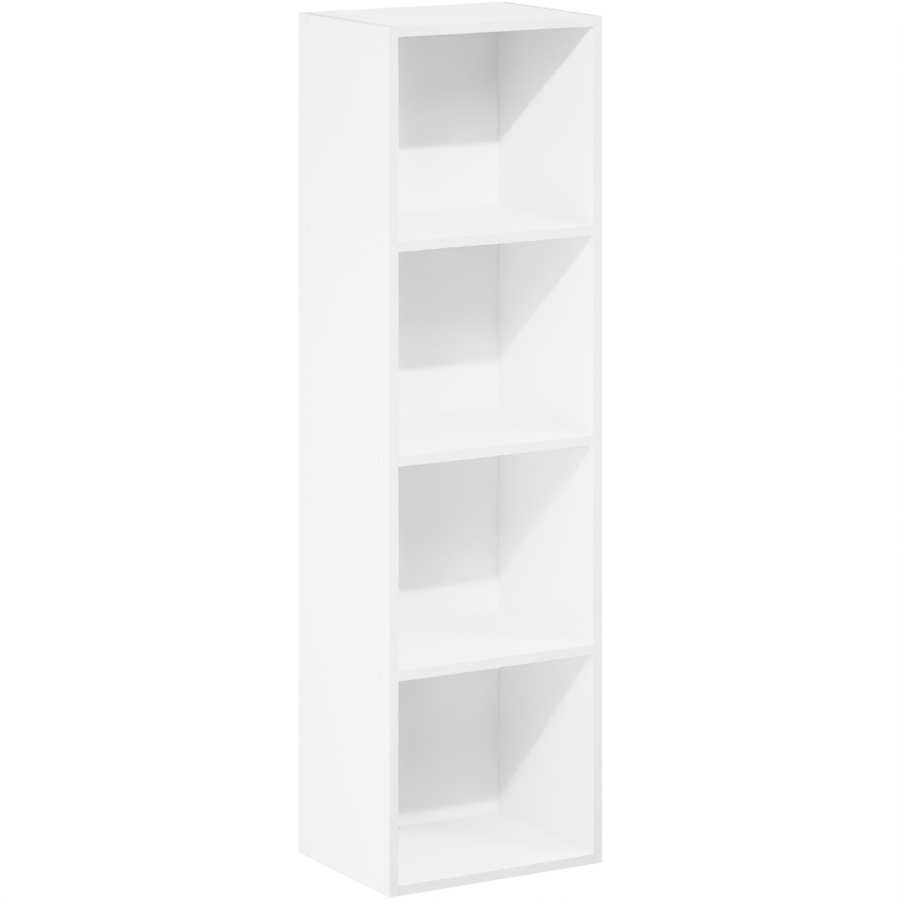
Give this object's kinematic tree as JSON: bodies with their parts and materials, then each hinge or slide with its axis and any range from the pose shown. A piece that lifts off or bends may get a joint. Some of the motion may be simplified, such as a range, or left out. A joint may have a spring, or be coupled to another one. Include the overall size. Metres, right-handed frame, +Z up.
{
  "type": "open bookcase",
  "caption": "Tall narrow open bookcase with equal stacked compartments, screwed white laminated boards, capped screw heads and a thin nailed-on back sheet.",
  "frame": {"origin": "on the floor, in the middle of the footprint", "axes": "+Z up, +Y towards the back sheet, so the open front faces -Y; +X to the right as seen from the front"},
  "size_m": [0.3074, 0.2364, 1.058],
  "materials": {
    "white_laminate": "satin",
    "back_board": "satin",
    "cap_plastic": "satin",
    "screw_steel": "satin",
    "nail_steel": "satin"
  },
  "bodies": {
    "root": {"back_sheet": "back_board", "bottom_board": "white_laminate", "cap_bottom_left_front": "cap_plastic", "cap_bottom_left_rear": "cap_plastic", "cap_bottom_right_front": "cap_plastic", "cap_bottom_right_rear": "cap_plastic", "cap_lower_left_front": "cap_plastic", "cap_lower_left_rear": "cap_plastic", "cap_lower_right_front": "cap_plastic", "cap_lower_right_rear": "cap_plastic", "cap_middle_left_front": "cap_plastic", "cap_middle_left_rear": "cap_plastic", "cap_middle_right_front": "cap_plastic", "cap_middle_right_rear": "cap_plastic", "cap_top_left_front": "cap_plastic", "cap_top_left_rear": "cap_plastic", "cap_top_right_front": "cap_plastic", "cap_top_right_rear": "cap_plastic", "cap_upper_left_front": "cap_plastic", "cap_upper_left_rear": "cap_plastic", "cap_upper_right_front": "cap_plastic", "cap_upper_right_rear": "cap_plastic", "left_side": "white_laminate", "lower_shelf": "white_laminate", "middle_shelf": "white_laminate", "nail_bottom_left": "nail_steel", "nail_bottom_right": "nail_steel", "nail_left_1": "nail_steel", "nail_left_2": "nail_steel", "nail_left_3": "nail_steel", "nail_left_4": "nail_steel", "nail_right_1": "nail_steel", "nail_right_2": "nail_steel", "nail_right_3": "nail_steel", "nail_right_4": "nail_steel", "nail_top_left": "nail_steel", "nail_top_right": "nail_steel", "right_side": "white_laminate", "screw_bottom_left_front": "screw_steel", "screw_bottom_left_rear": "screw_steel", "screw_bottom_right_front": "screw_steel", "screw_bottom_right_rear": "screw_steel", "screw_lower_left_front": "screw_steel", "screw_lower_left_rear": "screw_steel", "screw_lower_right_front": "screw_steel", "screw_lower_right_rear": "screw_steel", "screw_middle_left_front": "screw_steel", "screw_middle_left_rear": "screw_steel", "screw_middle_right_front": "screw_steel", "screw_middle_right_rear": "screw_steel", "screw_top_left_front": "screw_steel", "screw_top_left_rear": "screw_steel", "screw_top_right_front": "screw_steel", "screw_top_right_rear": "screw_steel", "screw_upper_left_front": "screw_steel", "screw_upper_left_rear": "screw_steel", "screw_upper_right_front": "screw_steel", "screw_upper_right_rear": "screw_steel", "top_board": "white_laminate", "upper_shelf": "white_laminate"}
  },
  "joints": []
}
